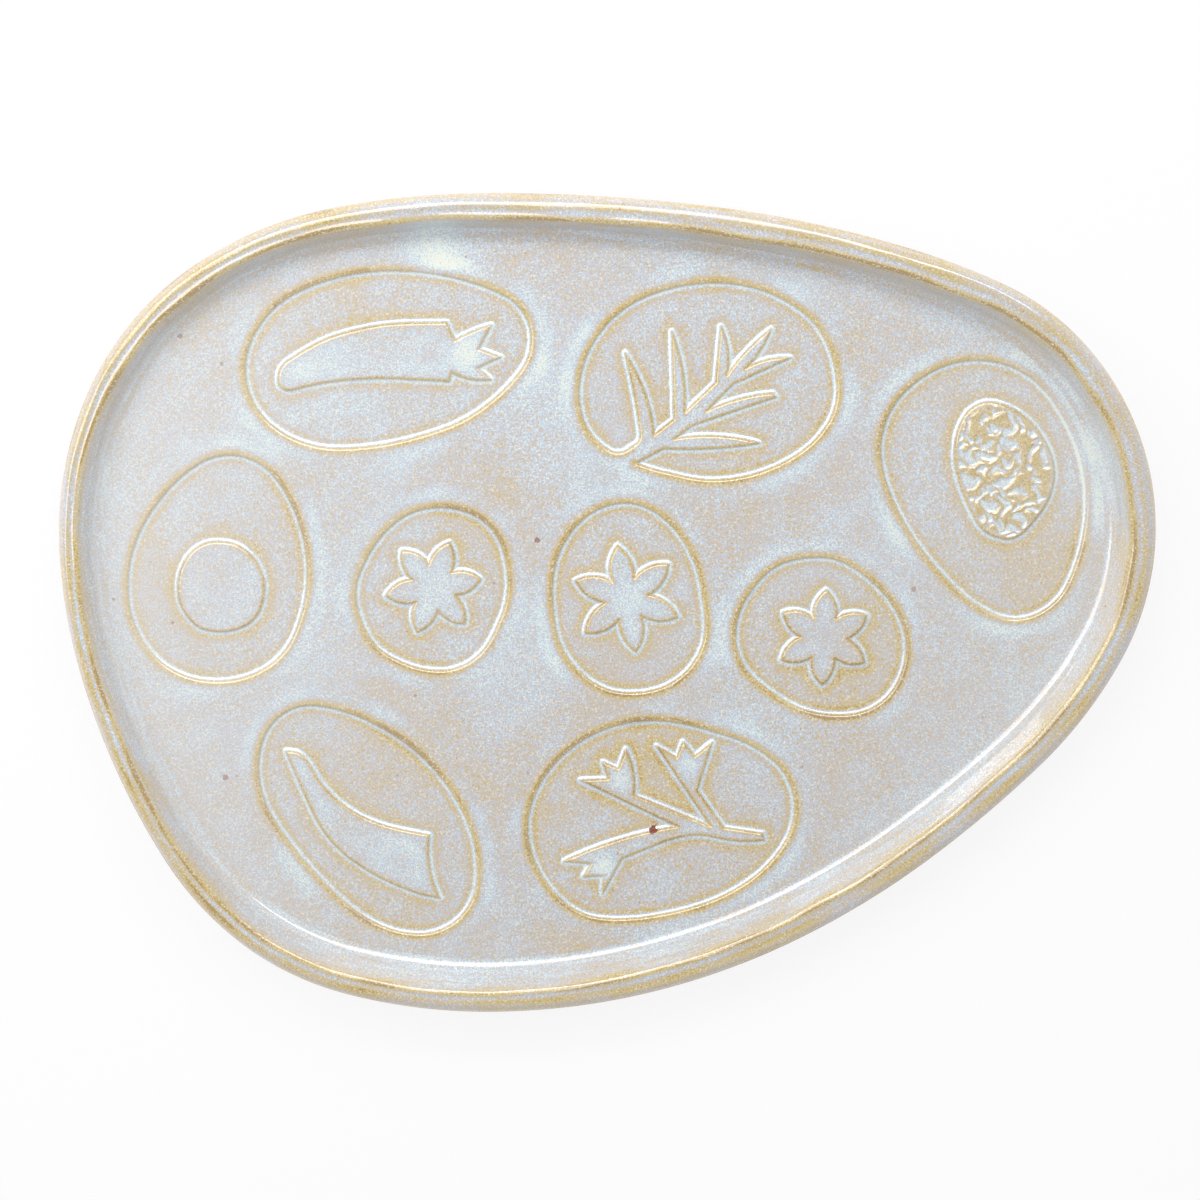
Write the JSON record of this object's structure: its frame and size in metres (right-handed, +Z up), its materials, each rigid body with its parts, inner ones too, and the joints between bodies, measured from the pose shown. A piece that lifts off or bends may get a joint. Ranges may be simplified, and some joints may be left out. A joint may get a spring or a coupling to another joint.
{
  "type": "seder plate",
  "caption": "Egg-shaped glazed stoneware seder plate with a low beaded rim and sunken wells that hold raised food figures and plain rosettes.",
  "frame": {"origin": "under the middle of the plate's length and width, in the plane that it stands on", "axes": "+X along the length towards the narrow end, +Y across the plate towards the side that the root and the leaf are on, +Z up out of the food side"},
  "size_m": [0.36, 0.273, 0.024],
  "materials": {
    "field_glaze": "glossy, mottled pale blue, lilac and tan",
    "rim_glaze": "glossy, breaking to gold on the edges",
    "figure_glaze": "glossy, gold edges with pools of pale cyan",
    "bare_clay": "matt, unglazed"
  },
  "bodies": {
    "root": {"floor_slab": "field_glaze", "rim_wall": "rim_glaze", "seam_coil": "field_glaze", "foot_ring": "bare_clay", "root_figure": "figure_glaze", "leaf_figure": "figure_glaze", "charoset_pad": "figure_glaze", "disc_figure": "figure_glaze", "bone_figure": "figure_glaze", "sprig_figure": "figure_glaze", "rosette_left": "figure_glaze", "rosette_middle": "figure_glaze", "rosette_right": "figure_glaze"}
  },
  "joints": []
}
